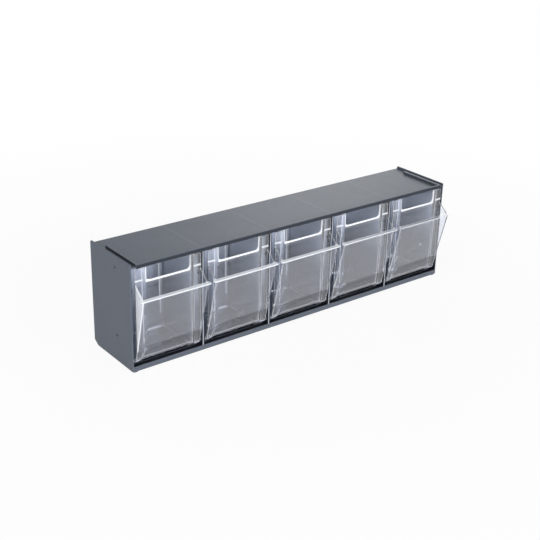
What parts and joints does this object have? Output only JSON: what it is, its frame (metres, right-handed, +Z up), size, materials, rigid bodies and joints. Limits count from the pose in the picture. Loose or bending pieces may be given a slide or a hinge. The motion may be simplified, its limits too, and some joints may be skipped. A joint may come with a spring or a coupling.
{
  "type": "tilt-out bin organizer",
  "caption": "Low, wide storage cabinet with a row of clear bins, each hinged at its bottom front edge to tip forward by its pull lip.",
  "frame": {"origin": "middle of the footprint, with the bins closed, on the surface the skids stand on", "axes": "+X to the right as seen from the front, +Y towards the back panel, +Z up; the bins open towards -Y"},
  "size_m": [0.6, 0.1334, 0.1651],
  "materials": {
    "housing_plastic": "moulded, fine matte grain, dark blue-grey",
    "clear_plastic": "clear moulded polystyrene, polished"
  },
  "bodies": {
    "cabinet": {"left_end_panel": "housing_plastic", "right_end_panel": "housing_plastic", "top_panel": "housing_plastic", "bottom_panel": "housing_plastic", "back_panel": "housing_plastic", "divider_1": "housing_plastic", "divider_2": "housing_plastic", "divider_3": "housing_plastic", "divider_4": "housing_plastic"},
    "bin_1_body": {"bin_1": "clear_plastic"},
    "bin_2_body": {"bin_2": "clear_plastic"},
    "bin_3_body": {"bin_3": "clear_plastic"},
    "bin_4_body": {"bin_4": "clear_plastic"},
    "bin_5_body": {"bin_5": "clear_plastic"}
  },
  "joints": [
    {"name": "bin_1_tilt", "type": "hinge", "parent": "cabinet", "child": "bin_1_body", "pos_m": [-0.23945, -0.03483, 0.0161], "axis": [1, 0, 0], "range_deg": [0, 45]},
    {"name": "bin_2_tilt", "type": "hinge", "parent": "cabinet", "child": "bin_2_body", "pos_m": [-0.12, -0.03483, 0.0161], "axis": [1, 0, 0], "range_deg": [0, 45]},
    {"name": "bin_3_tilt", "type": "hinge", "parent": "cabinet", "child": "bin_3_body", "pos_m": [0, -0.03483, 0.0161], "axis": [1, 0, 0], "range_deg": [0, 45]},
    {"name": "bin_4_tilt", "type": "hinge", "parent": "cabinet", "child": "bin_4_body", "pos_m": [0.12, -0.03483, 0.0161], "axis": [1, 0, 0], "range_deg": [0, 45]},
    {"name": "bin_5_tilt", "type": "hinge", "parent": "cabinet", "child": "bin_5_body", "pos_m": [0.23945, -0.03483, 0.0161], "axis": [1, 0, 0], "range_deg": [0, 45]}
  ]
}
